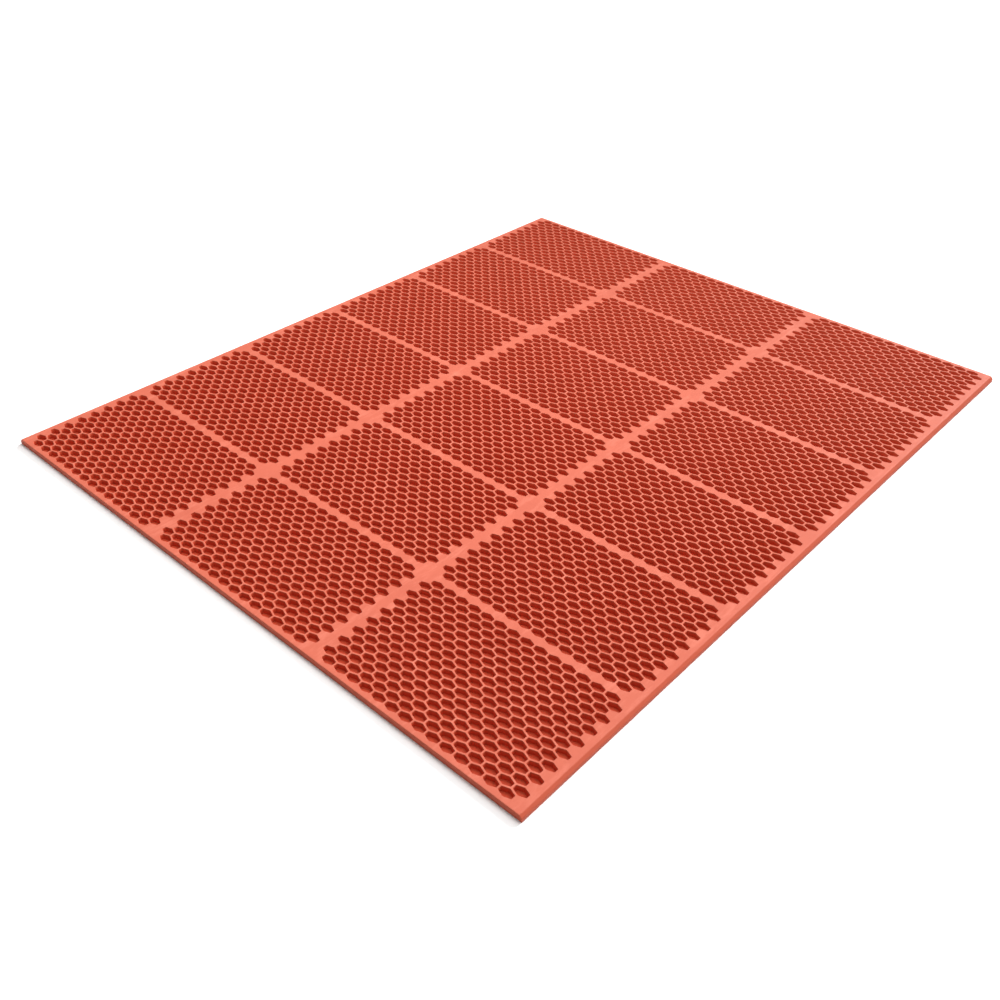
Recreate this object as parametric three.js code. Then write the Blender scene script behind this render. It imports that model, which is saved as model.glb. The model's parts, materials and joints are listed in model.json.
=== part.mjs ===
// Anti-fatigue mat: one rubber moulding, split into its zones.
// +X runs across the mat, +Y along it and +Z up. Millimetres. The mat lies on z = 0.
// Six bands follow one another along Y. Each band holds three honeycomb panels, and it
// bends against the next band along the middle of the cross web between them.
import * as THREE from "three";

// Honeycomb: long rows of cells run across the mat and set the size of every panel.
const cellPitch = 21.12; // from cell to cell along a row
const rowPitch = 11.1; // from row to row
const cellWidth = 18.2; // mouth of a cell, along its row
const cellLength = 11.4; // mouth of a cell, across its row
const cellsPerLongRow = 15;
const rowsPerPanel = 17;
const sideRim = 1.4; // rubber that a panel keeps beside its outermost cells
const endRim = 1.7; // the same at its front and rear

// Plain strips between and around the panels
const longWebWidth = 9.8;
const crossWebLength = 6;
const sideFlatWidth = 6.5; // flat top of a side border, inside its chamfer
const endBorderLength = 4.7;

// Section
const thickness = 9.5;
const chamfer = 4; // run and drop of the sloping long edges
const seam = 0.3; // clearance between neighbouring zones

const columnNames = ["left", "middle", "right"];
const bandCount = 6;

// Sizes that follow from the ones above
const panelWidth = (cellsPerLongRow - 1) * cellPitch + cellWidth + 2 * sideRim;
const panelLength = (rowsPerPanel - 1) * rowPitch + cellLength + 2 * endRim;
const columnPitch = panelWidth + longWebWidth;
const bandPitch = panelLength + crossWebLength;
const sideBorderWidth = sideFlatWidth + chamfer;
const columnCount = columnNames.length;
const matWidth = columnCount * panelWidth + (columnCount - 1) * longWebWidth + 2 * sideBorderWidth;
const panelsLength = bandCount * panelLength + (bandCount - 1) * crossWebLength;
const matLength = panelsLength + 2 * endBorderLength;
const frontEdge = -matLength / 2;
const rearEdge = matLength / 2;

const rubber = () => new THREE.MeshStandardMaterial({ color: 0xdb6852, roughness: 0.72, metalness: 0 });

const addMesh = (band, name, geometry) => {
  const mesh = new THREE.Mesh(geometry, rubber());
  mesh.name = name;
  band.add(mesh);
  return mesh;
};

// A plain slab between two places along X and two along Y, seam already taken off
const addSlab = (band, name, [x0, x1], [y0, y1]) => {
  const mesh = addMesh(band, name, new THREE.BoxGeometry(x1 - x0, y1 - y0, thickness));
  mesh.position.set((x0 + x1) / 2, (y0 + y1) / 2, thickness / 2);
};

// A section in X and Z, run along Y
const addPrism = (band, name, section, [y0, y1]) => {
  const shape = new THREE.Shape(section.map(([x, z]) => new THREE.Vector2(x, z)));
  const geometry = new THREE.ExtrudeGeometry(shape, { depth: y1 - y0, bevelEnabled: false });
  geometry.rotateX(Math.PI / 2);
  const mesh = addMesh(band, name, geometry);
  mesh.position.y = y1;
};

const panelLeftEdge = (column) => -matWidth / 2 + sideBorderWidth + column * columnPitch;
const panelFrontEdge = (index) => frontEdge + endBorderLength + index * bandPitch;

// Section of a side border: side is -1 on the left and 1 on the right
const sideBorderSection = (side) => {
  const inner = side * (matWidth / 2 - sideBorderWidth + seam / 2);
  const crease = side * (matWidth / 2 - chamfer);
  const outer = (side * matWidth) / 2;
  return [
    [inner, 0],
    [outer, 0],
    [outer, thickness - chamfer],
    [crease, thickness],
    [inner, thickness],
  ];
};

// Section of a strip that runs the whole way across the mat, chamfered at both ends
const fullWidthSection = () => [
  [-matWidth / 2, 0],
  [matWidth / 2, 0],
  [matWidth / 2, thickness - chamfer],
  [matWidth / 2 - chamfer, thickness],
  [-matWidth / 2 + chamfer, thickness],
  [-matWidth / 2, thickness - chamfer],
];

const makeBand = (index) => {
  const band = new THREE.Group();
  const label = `b${index + 1}`;
  const y0 = panelFrontEdge(index);
  const alongPanel = [y0 + seam / 2, y0 + panelLength - seam / 2];
  columnNames.forEach((columnName, column) => {
    const x0 = panelLeftEdge(column);
    addSlab(band, `panel_${label}_${columnName}`, [x0 + seam / 2, x0 + panelWidth - seam / 2], alongPanel);
  });
  ["left", "right"].forEach((sideName, i) => {
    const x0 = panelLeftEdge(i) + panelWidth;
    addSlab(band, `long_web_${label}_${sideName}`, [x0 + seam / 2, x0 + longWebWidth - seam / 2], alongPanel);
    addPrism(band, `side_border_${label}_${sideName}`, sideBorderSection(2 * i - 1), alongPanel);
  });
  return band;
};

// Each cross web is two half strips that meet at the bending line
const addCrossWeb = (index, frontBand, rearBand) => {
  const y0 = panelFrontEdge(index) + panelLength;
  const bend = y0 + crossWebLength / 2;
  const label = `cross_web_${index + 1}_${index + 2}`;
  addPrism(frontBand, `${label}_front_half`, fullWidthSection(), [y0 + seam / 2, bend - seam / 2]);
  const rear = [bend + seam / 2, y0 + crossWebLength - seam / 2];
  addPrism(rearBand, `${label}_rear_half`, fullWidthSection(), rear);
};

const mat = new THREE.Group();
const bands = Array.from({ length: bandCount }, (_, index) => makeBand(index));
bands.forEach((band) => mat.add(band));
for (let index = 0; index < bandCount - 1; index++) {
  addCrossWeb(index, bands[index], bands[index + 1]);
}
const frontStrip = [frontEdge, frontEdge + endBorderLength - seam / 2];
const rearStrip = [rearEdge - endBorderLength + seam / 2, rearEdge];
addPrism(bands[0], "end_border_front", fullWidthSection(), frontStrip);
addPrism(bands[bandCount - 1], "end_border_rear", fullWidthSection(), rearStrip);

export default mat;
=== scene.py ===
import json
import math

import bmesh
import bpy
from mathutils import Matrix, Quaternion, Vector


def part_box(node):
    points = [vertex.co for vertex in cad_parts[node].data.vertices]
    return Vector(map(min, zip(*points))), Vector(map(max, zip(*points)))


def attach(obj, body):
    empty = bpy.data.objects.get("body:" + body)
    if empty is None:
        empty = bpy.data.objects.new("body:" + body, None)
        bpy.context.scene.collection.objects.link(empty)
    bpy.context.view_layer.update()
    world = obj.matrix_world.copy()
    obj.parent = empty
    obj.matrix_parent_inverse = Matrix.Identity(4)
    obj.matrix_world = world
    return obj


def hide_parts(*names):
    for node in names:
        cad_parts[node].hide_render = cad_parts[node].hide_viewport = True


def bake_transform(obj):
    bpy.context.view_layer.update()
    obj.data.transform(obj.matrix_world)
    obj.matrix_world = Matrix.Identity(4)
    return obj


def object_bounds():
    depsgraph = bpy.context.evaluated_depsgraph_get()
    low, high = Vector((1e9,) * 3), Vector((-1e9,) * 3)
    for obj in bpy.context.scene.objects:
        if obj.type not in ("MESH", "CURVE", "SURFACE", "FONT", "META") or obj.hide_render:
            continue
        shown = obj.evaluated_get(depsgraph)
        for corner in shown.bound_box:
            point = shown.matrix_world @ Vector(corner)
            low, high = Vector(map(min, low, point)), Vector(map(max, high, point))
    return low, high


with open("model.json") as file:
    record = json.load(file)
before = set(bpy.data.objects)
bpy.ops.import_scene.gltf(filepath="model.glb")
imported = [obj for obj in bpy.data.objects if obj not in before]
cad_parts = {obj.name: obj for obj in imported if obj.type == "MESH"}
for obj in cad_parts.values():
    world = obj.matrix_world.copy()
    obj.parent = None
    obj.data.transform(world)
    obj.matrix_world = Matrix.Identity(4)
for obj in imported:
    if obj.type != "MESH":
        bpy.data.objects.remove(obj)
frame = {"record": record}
cadLow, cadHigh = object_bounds()
bands = frame["record"]["behaviour"]["bodies"]
mm = 0.001
top = cadHigh.z
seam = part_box("long_web_b1_left")[0].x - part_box("panel_b1_left")[1].x
print("frame loaded, seam of", round(seam / mm, 2), "mm between the zones")


# Camera, a little above the mat's nearest corner
view = {
    "aim": (0.11823, -0.21184, 0.0),  # m, where the line of sight meets the floor
    "distance": 1.4923,  # m
    "turn": 41.446,  # degrees, to the left of +Y
    "down": 36.709,  # degrees, below the horizon
    "tilt": 1.10,  # degrees, right side raised
    "lens": 38.318,  # mm
}


def addCamera():
    turn = math.radians(view["turn"])
    down = math.radians(view["down"])
    ahead = Vector((-math.sin(turn) * math.cos(down), math.cos(turn) * math.cos(down), -math.sin(down)))
    camera = bpy.data.objects.new("camera", bpy.data.cameras.new("camera"))
    camera.data.lens = view["lens"]
    camera.data.clip_start = 0.01
    camera.location = Vector(view["aim"]) - ahead * view["distance"]
    camera.rotation_mode = "QUATERNION"
    rolled = Quaternion((0, 0, 1), math.radians(view["tilt"]))
    camera.rotation_quaternion = ahead.to_track_quat("-Z", "Y") @ rolled
    bpy.context.scene.collection.objects.link(camera)
    bpy.context.scene.camera = camera


addCamera()
print("camera placed")


# Materials
def linearColour(hexColour):
    channels = [int(hexColour[i : i + 2], 16) / 255 for i in (1, 3, 5)]
    return [c / 12.92 if c <= 0.04045 else ((c + 0.055) / 1.055) ** 2.4 for c in channels] + [1]


def addNode(tree, kind, inputs=None, **settings):
    node = tree.nodes.new(kind)
    for name, value in settings.items():
        setattr(node, name, value)
    for name, value in (inputs or {}).items():
        if isinstance(value, bpy.types.NodeSocket):
            tree.links.new(value, node.inputs[name])
        else:
            node.inputs[name].default_value = value
    return node


def perMetre(size):  # scale of a pattern whose features are this many mm apart
    return 1 / (size * mm)


def newMaterial(name):
    material = bpy.data.materials.new(name)
    material.use_nodes = True
    material.node_tree.nodes.clear()
    return material, material.node_tree


# Nitrile rubber, pressed in a steel mould: matt, evenly dyed, a little cloudy where the compound flowed,
# with a fine blasted grain from the mould. The tops are paler than the cells: pale scuff streaks over a
# painted highlight on the tops, and painted shade inside the cells.
rubber = {
    "colour": "#b4533d",
    "cloudColour": "#ad4d38",
    # pale colour of the tops: scuff marks, and a painted highlight on the tops and mouth lips
    "scuffAndHighlightColour": "#ce7763",
    # painted shade: a deeper colour for the inside of the cells
    "cellShadeColour": "#bd4b31",
    "cloud": 45,  # mm
    "mottle": 5,  # mm
    "scuff": 14,  # mm
    "scuffTurn": 28,  # degrees, off the mat's length
    "grain": 0.9,  # mm, the real grain is about 0.2 mm and would not show
    "grainHeight": 0.12,  # mm
    "scuffAndHighlightShare": (0.35, 0.8),  # least and most of the pale colour on the tops: scuff streaks over a painted highlight
    "cellShadeFrom": 0.9,  # mm below the top, where the painted cell shade is full
    "scuffAndHighlightFrom": 0.1,  # mm below the top, where the tops' pale colour (scuffs and painted highlight) is complete
    "cellShadeUntil": 1.5,  # mm above the floor, where the painted cell shade ends
    "underFrom": 0.5,  # mm above the floor, where the underside's colour is complete
    "roughness": (0.5, 0.66),
    "refraction": 1.52,
    "shine": 0.1,
}


def makeRubber(name, lowColour):
    material, tree = newMaterial(name)
    place = addNode(tree, "ShaderNodeTexCoord").outputs["Object"]
    cloud = addNode(tree, "ShaderNodeTexNoise",
                    {"Vector": place, "Scale": perMetre(rubber["cloud"]), "Detail": 3, "Roughness": 0.55})
    mottle = addNode(tree, "ShaderNodeTexNoise",
                     {"Vector": place, "Scale": perMetre(rubber["mottle"]), "Detail": 4, "Roughness": 0.6})
    clouded = addNode(tree, "ShaderNodeMapRange",
                      {"Value": cloud.outputs["Fac"], "From Min": 0.35, "From Max": 0.65})
    base = addNode(tree, "ShaderNodeMix",
                   {0: clouded.outputs["Result"], 6: linearColour(rubber["cloudColour"]),
                    7: linearColour(rubber["colour"])}, data_type="RGBA")
    # scuffs: short pale streaks, over a pale share on every top that is a painted highlight
    slant = math.radians(rubber["scuffTurn"])
    slanted = addNode(tree, "ShaderNodeMapping",
                      {"Vector": place, "Rotation": (0, 0, slant), "Scale": (1, 0.25, 1)})
    scuff = addNode(tree, "ShaderNodeTexNoise",
                    {"Vector": slanted.outputs["Vector"], "Scale": perMetre(rubber["scuff"]), "Detail": 6,
                     "Roughness": 0.7})
    least, most = rubber["scuffAndHighlightShare"]
    scuffAndHighlightMask = addNode(tree, "ShaderNodeMapRange",
                   {"Value": scuff.outputs["Fac"], "From Min": 0.5, "From Max": 0.72,
                    "To Min": least, "To Max": most})
    scuffedAndHighlighted = addNode(tree, "ShaderNodeMix",
                     {0: scuffAndHighlightMask.outputs["Result"], 6: base.outputs[2],
                      7: linearColour(rubber["scuffAndHighlightColour"])}, data_type="RGBA")
    # below the tops the cells are painted a deeper colour, as painted shade in the recesses; near the floor
    # the underside, which rubs on the floor, takes the tops' scuffed and highlighted colour again
    height = addNode(tree, "ShaderNodeSeparateXYZ", {"Vector": place}).outputs["Z"]
    topsAboveCellShade = addNode(tree, "ShaderNodeMapRange",
                      {"Value": height, "From Min": top - rubber["cellShadeFrom"] * mm,
                       "From Max": top - rubber["scuffAndHighlightFrom"] * mm})
    under = addNode(tree, "ShaderNodeMapRange",
                    {"Value": height, "From Min": rubber["cellShadeUntil"] * mm,
                     "From Max": rubber["underFrom"] * mm})
    outside = addNode(tree, "ShaderNodeMath", {0: topsAboveCellShade.outputs["Result"], 1: under.outputs["Result"]},
                      operation="MAXIMUM")
    coloured = addNode(tree, "ShaderNodeMix",
                       {0: outside.outputs["Value"], 6: linearColour(lowColour), 7: scuffedAndHighlighted.outputs[2]},
                       data_type="RGBA")
    smooth, rough = rubber["roughness"]
    gloss = addNode(tree, "ShaderNodeMapRange",
                    {"Value": mottle.outputs["Fac"], "From Min": 0.3, "From Max": 0.7,
                     "To Min": smooth, "To Max": rough})
    grain = addNode(tree, "ShaderNodeTexNoise",
                    {"Vector": place, "Scale": perMetre(rubber["grain"]), "Detail": 2, "Roughness": 0.6})
    relief = addNode(tree, "ShaderNodeMath", {0: grain.outputs["Fac"], 1: mottle.outputs["Fac"]},
                     operation="ADD")
    bump = addNode(tree, "ShaderNodeBump",
                   {"Height": relief.outputs["Value"], "Strength": 0.25,
                    "Distance": rubber["grainHeight"] * mm})
    shader = addNode(tree, "ShaderNodeBsdfPrincipled",
                     {"Base Color": coloured.outputs[2], "Roughness": gloss.outputs["Result"],
                      "IOR": rubber["refraction"], "Specular IOR Level": rubber["shine"],
                      "Normal": bump.outputs["Normal"]})
    addNode(tree, "ShaderNodeOutputMaterial", {"Surface": shader.outputs["BSDF"]})
    return material


# the panels' cells take the painted shade colour below the tops
panelRubber = makeRubber("nitrile rubber, moulded cells", rubber["cellShadeColour"])
borderRubber = makeRubber("nitrile rubber, moulded strips", rubber["colour"])
print("materials made")


# Shared steps of the pieces
sharpFrom = 50  # degrees between two faces, where smooth shading stops


def zoneOf(*nodes):  # room of these nodes, grown over half of each seam but never past the mat's outline
    boxes = [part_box(node) for node in nodes]
    low = Vector([min(box[0][axis] for box in boxes) for axis in range(3)])
    high = Vector([max(box[1][axis] for box in boxes) for axis in range(3)])
    half = Vector((seam / 2, seam / 2, 0))
    return Vector(map(max, low - half, cadLow)), Vector(map(min, high + half, cadHigh))


def near(a, b):
    return abs(a - b) < 0.01 * mm


def pointsOf(geom):
    return [part for part in geom if isinstance(part, bmesh.types.BMVert)]


def edgesWhere(bm, test):  # edges whose middle passes the test
    return [edge for edge in bm.edges if test((edge.verts[0].co + edge.verts[1].co) / 2)]


def sharpenCorners(bm):  # smooth shading passes over a rounding but not round a corner
    bm.normal_update()
    for edge in bm.edges:
        edge.smooth = edge.calc_face_angle(0) < math.radians(sharpFrom)


def placePiece(name, bm, material):
    mesh = bpy.data.meshes.new(name)
    bm.to_mesh(mesh)
    bm.free()
    mesh.materials.append(material)
    piece = bpy.data.objects.new(name, mesh)
    bpy.context.scene.collection.objects.link(piece)
    return piece


# Honeycomb panels: rows of blind hexagonal cells across the mat, every other row one cell shorter
honeycomb = {
    "rows": 17,
    "cellsInLongRow": 15,
    "wall": 1.9,  # mm, between neighbouring mouths
    "sideRim": 0.89,  # mm of rubber beside the outermost mouths
    "endRim": 1.15,  # mm, the same at the front and rear
    "mouthLength": 12.5,  # mm, along the mat
    "cornerRun": 0.9,  # mm, how far a corner's rounding runs along each side
    "lip": 0.3,  # mm, width and drop of the rounding round a mouth
    "depth": 7.2,  # mm
    "draft": 0.3,  # mm that the walls lean in on their way down
}


def makeCell(bm, pitch, rowPitch):
    # a hexagon that meets its neighbours, then drawn in by half a wall
    bmesh.ops.create_circle(bm, cap_ends=True, segments=6, radius=1)
    bmesh.ops.scale(bm, vec=(pitch / math.sqrt(3), rowPitch * 2 / 3, 1), verts=bm.verts[:])
    half = honeycomb["wall"] * mm / 2
    outside = bmesh.ops.inset_individual(bm, faces=bm.faces[:], thickness=half, use_even_offset=True)
    bmesh.ops.delete(bm, geom=outside["faces"], context="FACES")
    bmesh.ops.bevel(bm, geom=bm.verts[:], offset=honeycomb["cornerRun"] * mm, segments=2, profile=0.5,
                    affect="VERTICES", material=-1)
    bmesh.ops.translate(bm, vec=(0, 0, top), verts=bm.verts[:])
    floor = bm.faces[:]
    lip = honeycomb["lip"] * mm
    wall = honeycomb["depth"] * mm - lip
    rounded = bmesh.ops.inset_individual(bm, faces=floor, thickness=lip, depth=-lip, use_even_offset=True)
    walls = bmesh.ops.inset_individual(bm, faces=floor, thickness=honeycomb["draft"] * mm, depth=-wall,
                                       use_even_offset=True)
    for face in rounded["faces"] + walls["faces"]:
        face.smooth = True
    return bm.verts[:] + bm.edges[:] + bm.faces[:]


def makeHoneycomb(width, length):
    bm = bmesh.new()
    rows = honeycomb["rows"]
    pitch = (width - (2 * honeycomb["sideRim"] - honeycomb["wall"]) * mm) / honeycomb["cellsInLongRow"]
    rowPitch = (length - (2 * honeycomb["endRim"] + honeycomb["mouthLength"]) * mm) / (rows - 1)
    cell = makeCell(bm, pitch, rowPitch)
    for row in range(rows):
        count = honeycomb["cellsInLongRow"] - (row + 1) % 2
        for index in range(count):
            copied = bmesh.ops.duplicate(bm, geom=cell)["geom"]
            offset = ((index - (count - 1) / 2) * pitch, (row - (rows - 1) / 2) * rowPitch, 0)
            bmesh.ops.translate(bm, vec=offset, verts=pointsOf(copied))
    bmesh.ops.delete(bm, geom=pointsOf(cell), context="VERTS")
    mouths = [edge for edge in bm.edges if edge.is_boundary]
    # the top is one sheet between the panel's outline and all the mouths
    corners = bmesh.ops.create_grid(bm, x_segments=1, y_segments=1, size=0.5)["verts"]
    bmesh.ops.scale(bm, vec=(width, length, 1), verts=corners)
    bmesh.ops.translate(bm, vec=(0, 0, top), verts=corners)
    outline = corners[0].link_faces[0].edges[:]
    bmesh.ops.delete(bm, geom=corners[0].link_faces[:], context="FACES_ONLY")
    bmesh.ops.triangle_fill(bm, edges=outline + mouths, normal=(0, 0, 1))
    # the sides go down to the floor and the underside closes the panel
    sides = bmesh.ops.extrude_edge_only(bm, edges=outline)["geom"]
    bmesh.ops.translate(bm, vec=(0, 0, -top), verts=pointsOf(sides))
    bmesh.ops.contextual_create(bm, geom=edgesWhere(bm, lambda place: near(place.z, 0)))
    bmesh.ops.recalc_face_normals(bm, faces=bm.faces[:])
    sharpenCorners(bm)
    return bm


def addPanels():
    low, high = zoneOf("panel_b1_left")
    sheet = makeHoneycomb(high.x - low.x, high.y - low.y)
    for body, nodes in bands.items():
        for node in nodes:
            if not node.startswith("panel_"):
                continue
            low, high = zoneOf(node)
            bm = sheet.copy()
            bmesh.ops.translate(bm, vec=((low.x + high.x) / 2, (low.y + high.y) / 2, 0), verts=bm.verts[:])
            piece = placePiece(node.replace("panel", "honeycomb"), bm, panelRubber)
            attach(piece, body)
            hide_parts(node)
    sheet.free()


addPanels()
print("honeycomb panels made")


# Plain strips between and around the panels. The mat's long edges slope, its ends are cut square.
strip = {
    "chamfer": 4,  # mm, run and drop of the long edges
    "rounding": 0.9,  # mm, of every outer edge
    "roundSteps": 3,
    "bendSteps": 12,  # slices across the width of a cross web
}


def makeStrip(low, high):
    bm = bmesh.new()
    bmesh.ops.create_cube(bm, size=1)
    bmesh.ops.scale(bm, vec=high - low, verts=bm.verts[:])
    bmesh.ops.translate(bm, vec=(low + high) / 2, verts=bm.verts[:])
    side = cadHigh.x
    end = cadHigh.y
    chamfer = strip["chamfer"] * mm
    sloped = edgesWhere(bm, lambda place: near(abs(place.x), side) and near(place.z, top))
    bmesh.ops.bevel(bm, geom=sloped, offset=chamfer, segments=1, profile=0.5, affect="EDGES", material=-1)
    crease = edgesWhere(bm, lambda place: near(abs(place.x), side - chamfer) and near(place.z, top))
    lip = edgesWhere(bm, lambda place: near(abs(place.x), side) and near(place.z, top - chamfer))
    foot = edgesWhere(bm, lambda place: near(abs(place.x), side) and near(place.z, 0))
    cutEnd = edgesWhere(bm, lambda place: near(abs(place.y), end))
    outer = [edge for edge in bm.edges if edge in crease + lip + foot + cutEnd]
    rounded = bmesh.ops.bevel(bm, geom=outer, offset=strip["rounding"] * mm, segments=strip["roundSteps"],
                              profile=0.5, affect="EDGES", material=-1)
    for face in rounded["faces"]:
        face.smooth = True
    sharpenCorners(bm)
    return bm


def addStrips():
    for body, nodes in bands.items():
        for node in nodes:
            if not node.startswith(("long_web_", "side_border_", "end_border_")):
                continue
            piece = placePiece(node + "_strip", makeStrip(*zoneOf(node)), borderRubber)
            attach(piece, body)
            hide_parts(node)


def addCrossWebs():
    names = list(bands)
    for front, rear in zip(names, names[1:]):
        label = "cross_web_" + front.split("_")[1] + "_" + rear.split("_")[1]
        halves = [label + "_front_half", label + "_rear_half"]
        low, high = zoneOf(*halves)
        bm = makeStrip(low, high)
        step = (high.y - low.y) / strip["bendSteps"]
        for index in range(1, strip["bendSteps"]):
            geom = bm.verts[:] + bm.edges[:] + bm.faces[:]
            bmesh.ops.bisect_plane(bm, geom=geom, plane_co=(0, low.y + index * step, 0), plane_no=(0, 1, 0))
        piece = placePiece(label, bm, borderRubber)
        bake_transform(piece)
        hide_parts(*halves)


addStrips()
addCrossWebs()
print("strips and cross webs made")


# Studio: pale sweep, a low key from behind that skims the cells, a broad light nearly overhead,
# a softbox over the middle and an even fill
studio = {
    "floorColour": "#fafaf9",
    "floorSize": 60,  # m
    "sky": 0.22,
    # degrees; turn 0 lights from +Y and a minus turns towards +X
    "key": {"turn": 0, "height": 32, "spread": 18, "strength": 4.1},
    "overhead": {"turn": -45, "height": 75, "spread": 50, "strength": 1.35},
    "softbox": {"place": (0, 0.05, 1.2), "size": 1, "watts": 10.5},
}


def addSun(name, turn, height, spread, strength):
    lamp = bpy.data.lights.new(name, "SUN")
    lamp.angle = math.radians(spread)
    lamp.energy = strength
    turn = math.radians(turn)
    height = math.radians(height)
    flat = math.cos(height)
    towards = Vector((-math.sin(turn) * flat, math.cos(turn) * flat, math.sin(height)))
    sun = bpy.data.objects.new(name, lamp)
    sun.rotation_mode = "QUATERNION"
    sun.rotation_quaternion = towards.to_track_quat("Z", "Y")
    bpy.context.scene.collection.objects.link(sun)


def addSoftbox(place, size, watts):
    lamp = bpy.data.lights.new("softbox", "AREA")
    lamp.size = size
    lamp.energy = watts
    box = bpy.data.objects.new("softbox", lamp)
    box.location = place
    box.rotation_mode = "QUATERNION"
    box.rotation_quaternion = (-Vector(place)).to_track_quat("-Z", "Y")
    bpy.context.scene.collection.objects.link(box)


def addStudio():
    material, tree = newMaterial("matt white paper sweep")
    shader = addNode(tree, "ShaderNodeBsdfPrincipled",
                     {"Base Color": linearColour(studio["floorColour"]), "Roughness": 0.9,
                      "Specular IOR Level": 0.1})
    addNode(tree, "ShaderNodeOutputMaterial", {"Surface": shader.outputs["BSDF"]})
    bm = bmesh.new()
    bmesh.ops.create_grid(bm, x_segments=1, y_segments=1, size=studio["floorSize"] / 2)
    mesh = bpy.data.meshes.new("floor")
    bm.to_mesh(mesh)
    bm.free()
    mesh.materials.append(material)
    floor = bpy.data.objects.new("floor", mesh)
    bpy.context.scene.collection.objects.link(floor)
    world = bpy.data.worlds.new("studio")
    world.use_nodes = True
    world.node_tree.nodes.clear()
    sky = addNode(world.node_tree, "ShaderNodeBackground",
                  {"Color": (1, 1, 1, 1), "Strength": studio["sky"]})
    addNode(world.node_tree, "ShaderNodeOutputWorld", {"Surface": sky.outputs["Background"]})
    bpy.context.scene.world = world
    addSun("key", **studio["key"])
    addSun("overhead", **studio["overhead"])
    addSoftbox(**studio["softbox"])
    bpy.context.scene.view_settings.view_transform = "Standard"


addStudio()
print("studio set")
